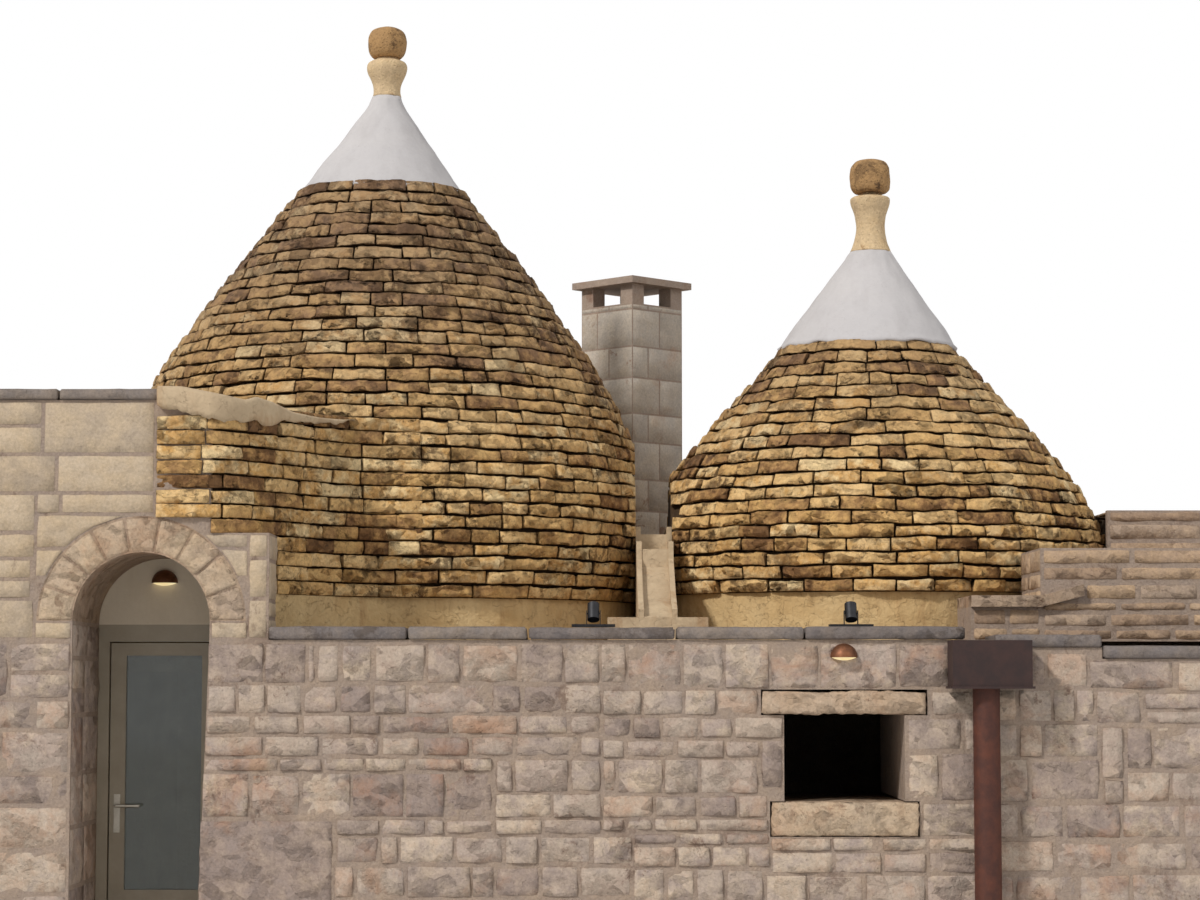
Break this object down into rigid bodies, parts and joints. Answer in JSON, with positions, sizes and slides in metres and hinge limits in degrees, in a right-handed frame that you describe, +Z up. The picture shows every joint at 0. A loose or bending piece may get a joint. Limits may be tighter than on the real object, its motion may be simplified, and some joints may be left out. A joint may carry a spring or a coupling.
{
  "type": "trullo house",
  "caption": "Dry-stone trullo house with two corbelled cone roofs, thick limestone walls, an arched door niche, an open window and a chimney.",
  "frame": {"origin": "on the ground, at the middle of the walls' plan", "axes": "+X to the right seen from the front, +Y to the back, +Z up"},
  "size_m": [7.2, 5.467, 5.83],
  "materials": {
    "wall_stone": "rough hewn limestone",
    "roof_stone": "split limestone slabs with lichen",
    "dressed_stone": "dressed limestone",
    "coping_stone": "weathered limestone",
    "floor_stone": "worn limestone paving",
    "white_lime": "limewashed plaster",
    "lime_plaster": "trowelled lime plaster",
    "pinnacle_stone": "carved weathered stone",
    "chimney_stone": "sawn limestone",
    "rusty_steel": "weathering steel",
    "painted_wood": "satin paint",
    "door_glass": "clear double glazing",
    "satin_metal": "satin",
    "copper_lamp": "aged copper",
    "black_metal": "matt black"
  },
  "bodies": {
    "house": {"front_wall_left": "wall_stone", "front_wall_right": "wall_stone", "window_walls": "wall_stone", "window_lintel": "dressed_stone", "window_sill": "dressed_stone", "front_coping": "coping_stone", "door_pier": "wall_stone", "door_block": "wall_stone", "door_arch": "dressed_stone", "door_tympanum": "lime_plaster", "door_block_coping": "coping_stone", "door_threshold": "floor_stone", "door_frame": "painted_wood", "hinge_posts": "satin_metal", "shoulder_foot": "lime_plaster", "shoulder_roof": "roof_stone", "shoulder_cap": "lime_plaster", "end_walls": "wall_stone", "back_wall": "wall_stone", "cross_wall": "lime_plaster", "room_floors": "floor_stone", "corner_slabs": "dressed_stone", "plaster_drums": "lime_plaster", "left_cone": "roof_stone", "right_cone": "roof_stone", "plaster_tips": "white_lime", "pinnacles": "pinnacle_stone", "chimney_shaft": "chimney_stone", "chimney_posts": "chimney_stone", "chimney_cap": "chimney_stone", "valley_gutter": "lime_plaster", "high_side_wall": "wall_stone", "roof_ledge": "dressed_stone", "rain_hopper": "rusty_steel", "downpipe": "rusty_steel", "wall_lamps": "copper_lamp", "spot_bases": "black_metal"},
    "door_leaf": {"door_leaf": "painted_wood", "door_glass": "door_glass", "door_panel": "painted_wood", "handle_plates": "satin_metal", "hinge_leaves": "satin_metal"},
    "door_handle": {"door_handle": "satin_metal"},
    "spot_left": {"spot_head_left": "black_metal"},
    "spot_right": {"spot_head_right": "black_metal"}
  },
  "joints": [
    {"name": "door_swing", "type": "hinge", "parent": "house", "child": "door_leaf", "pos_m": [-2.113, -1.722, 1], "axis": [0, 0, -1], "range_deg": [0, 95]},
    {"name": "handle_turn", "type": "hinge", "parent": "door_leaf", "child": "door_handle", "pos_m": [-2.6615, -1.755, 1.06], "axis": [0, 1, 0], "range_deg": [0, 40], "stiffness_Nm_per_rad": 1.2, "springref_deg": -22.92},
    {"name": "spot_left_tilt", "type": "hinge", "parent": "house", "child": "spot_left", "pos_m": [-0.035, -2.46, 2.101], "axis": [-1, 0, 0], "range_deg": [-28, 50]},
    {"name": "spot_right_tilt", "type": "hinge", "parent": "house", "child": "spot_right", "pos_m": [1.33, -2.46, 2.101], "axis": [-1, 0, 0], "range_deg": [-28, 50]}
  ]
}
